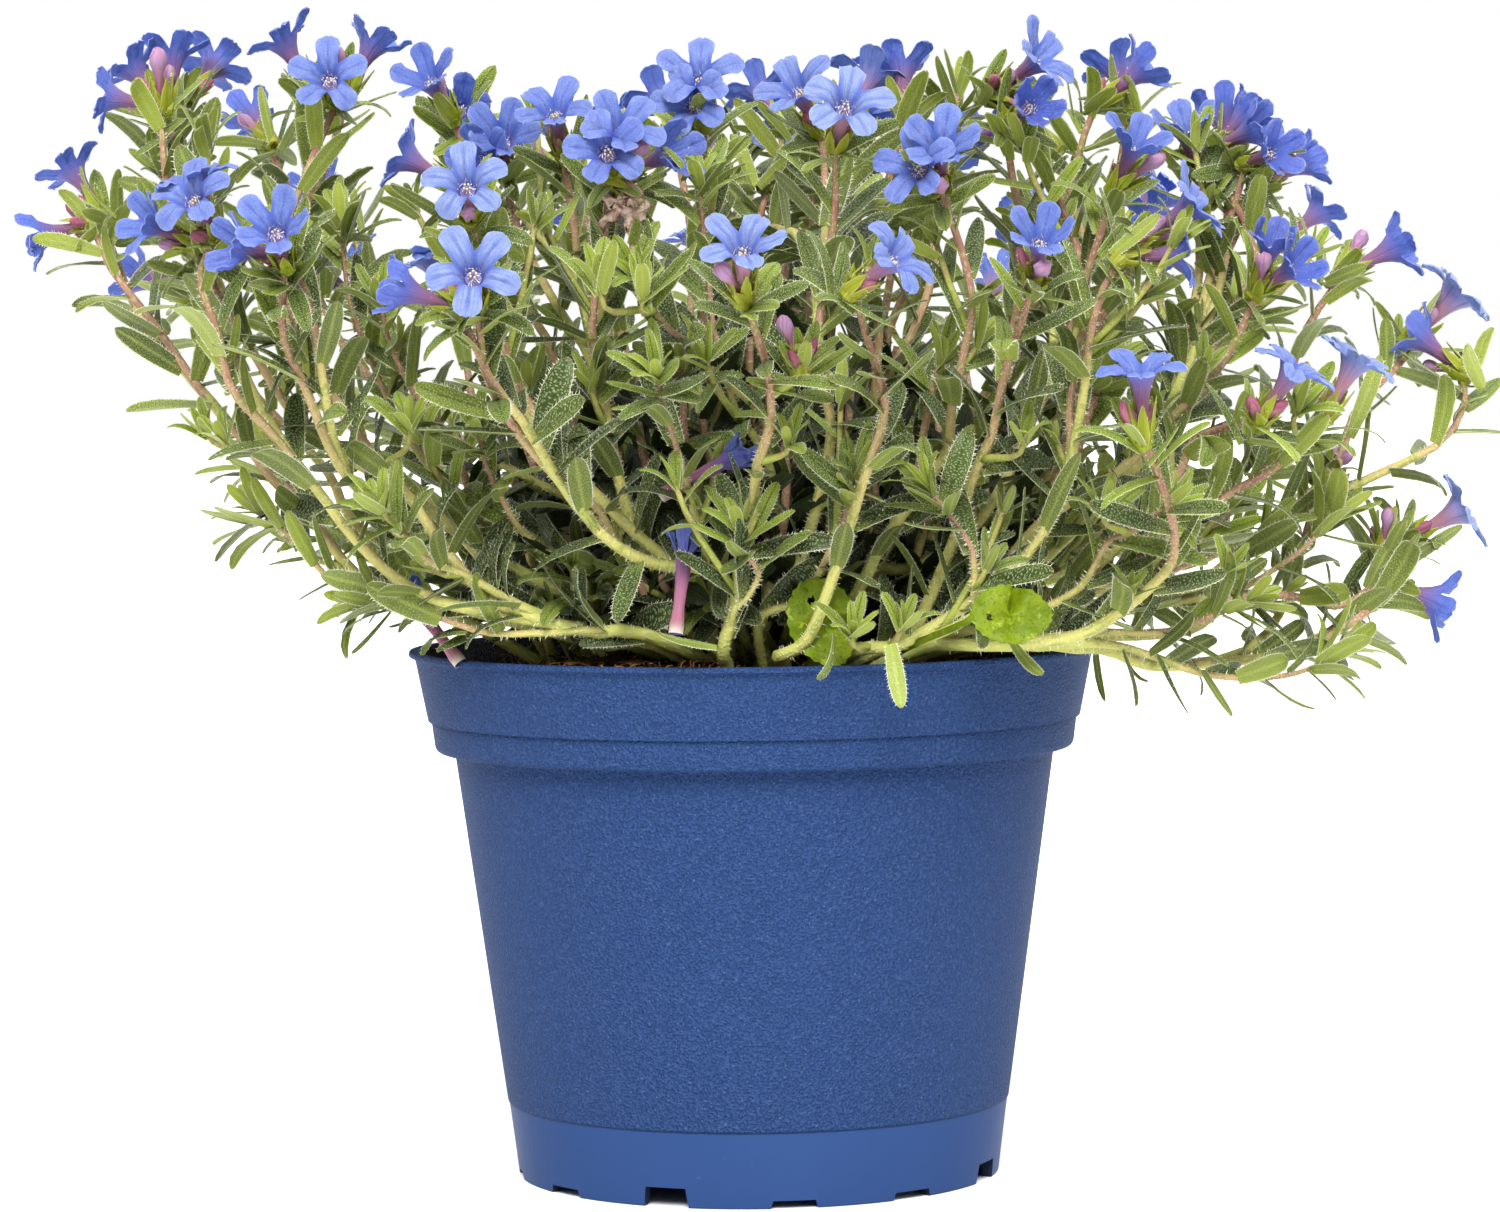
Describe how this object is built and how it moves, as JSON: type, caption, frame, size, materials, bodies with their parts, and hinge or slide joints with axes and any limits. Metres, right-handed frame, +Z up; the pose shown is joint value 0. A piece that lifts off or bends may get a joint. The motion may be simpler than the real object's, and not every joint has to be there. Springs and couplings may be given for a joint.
{
  "type": "potted lithodora",
  "caption": "Low spreading garden plant with blue star flowers and narrow leaves, growing in a tapered round plastic nursery pot.",
  "frame": {"origin": "on the surface the pot stands on, on the pot's axis, under the middle of the plant", "axes": "+Z up along the pot's axis, +X to the right of a person looking at the front, +Y to the back"},
  "size_m": [0.2609, 0.2046, 0.1981],
  "materials": {
    "pot": "fine leather-like grain with a soft sheen",
    "soil": "dark crumbly peat with pale brown fibres",
    "wood": "rough brown bark",
    "foliage": "bristly matt green, paler and yellower on stems",
    "petals": "soft velvety blue with darker veins"
  },
  "bodies": {
    "root": {"pot": "pot", "potting_soil": "soil", "crown": "wood", "seedling_leaf": "foliage", "fallen_corolla": "petals", "shoot_01": "foliage", "flowers_01": "petals", "shoot_02": "foliage", "flowers_02": "petals", "shoot_03": "foliage", "flowers_03": "petals", "shoot_04": "foliage", "flowers_04": "petals", "shoot_05": "foliage", "flowers_05": "petals", "shoot_06": "foliage", "flowers_06": "petals", "shoot_07": "foliage", "flowers_07": "petals", "shoot_08": "foliage", "flowers_08": "petals", "shoot_09": "foliage", "flowers_09": "petals", "shoot_10": "foliage", "flowers_10": "petals", "shoot_11": "foliage", "flowers_11": "petals", "shoot_12": "foliage", "flowers_12": "petals", "shoot_13": "foliage", "flowers_13": "petals", "shoot_14": "foliage", "flowers_14": "petals", "shoot_15": "foliage", "flowers_15": "petals", "shoot_16": "foliage", "flowers_16": "petals", "shoot_17": "foliage", "flowers_17": "petals", "shoot_18": "foliage", "flowers_18": "petals", "shoot_19": "foliage", "flowers_19": "petals", "shoot_20": "foliage", "flowers_20": "petals", "shoot_21": "foliage", "flowers_21": "petals", "shoot_22": "foliage", "flowers_22": "petals", "shoot_23": "foliage", "flowers_23": "petals", "shoot_24": "foliage", "flowers_24": "petals", "shoot_25": "foliage", "flowers_25": "petals", "shoot_26": "foliage", "flowers_26": "petals", "shoot_27": "foliage", "flowers_27": "petals"}
  },
  "joints": []
}
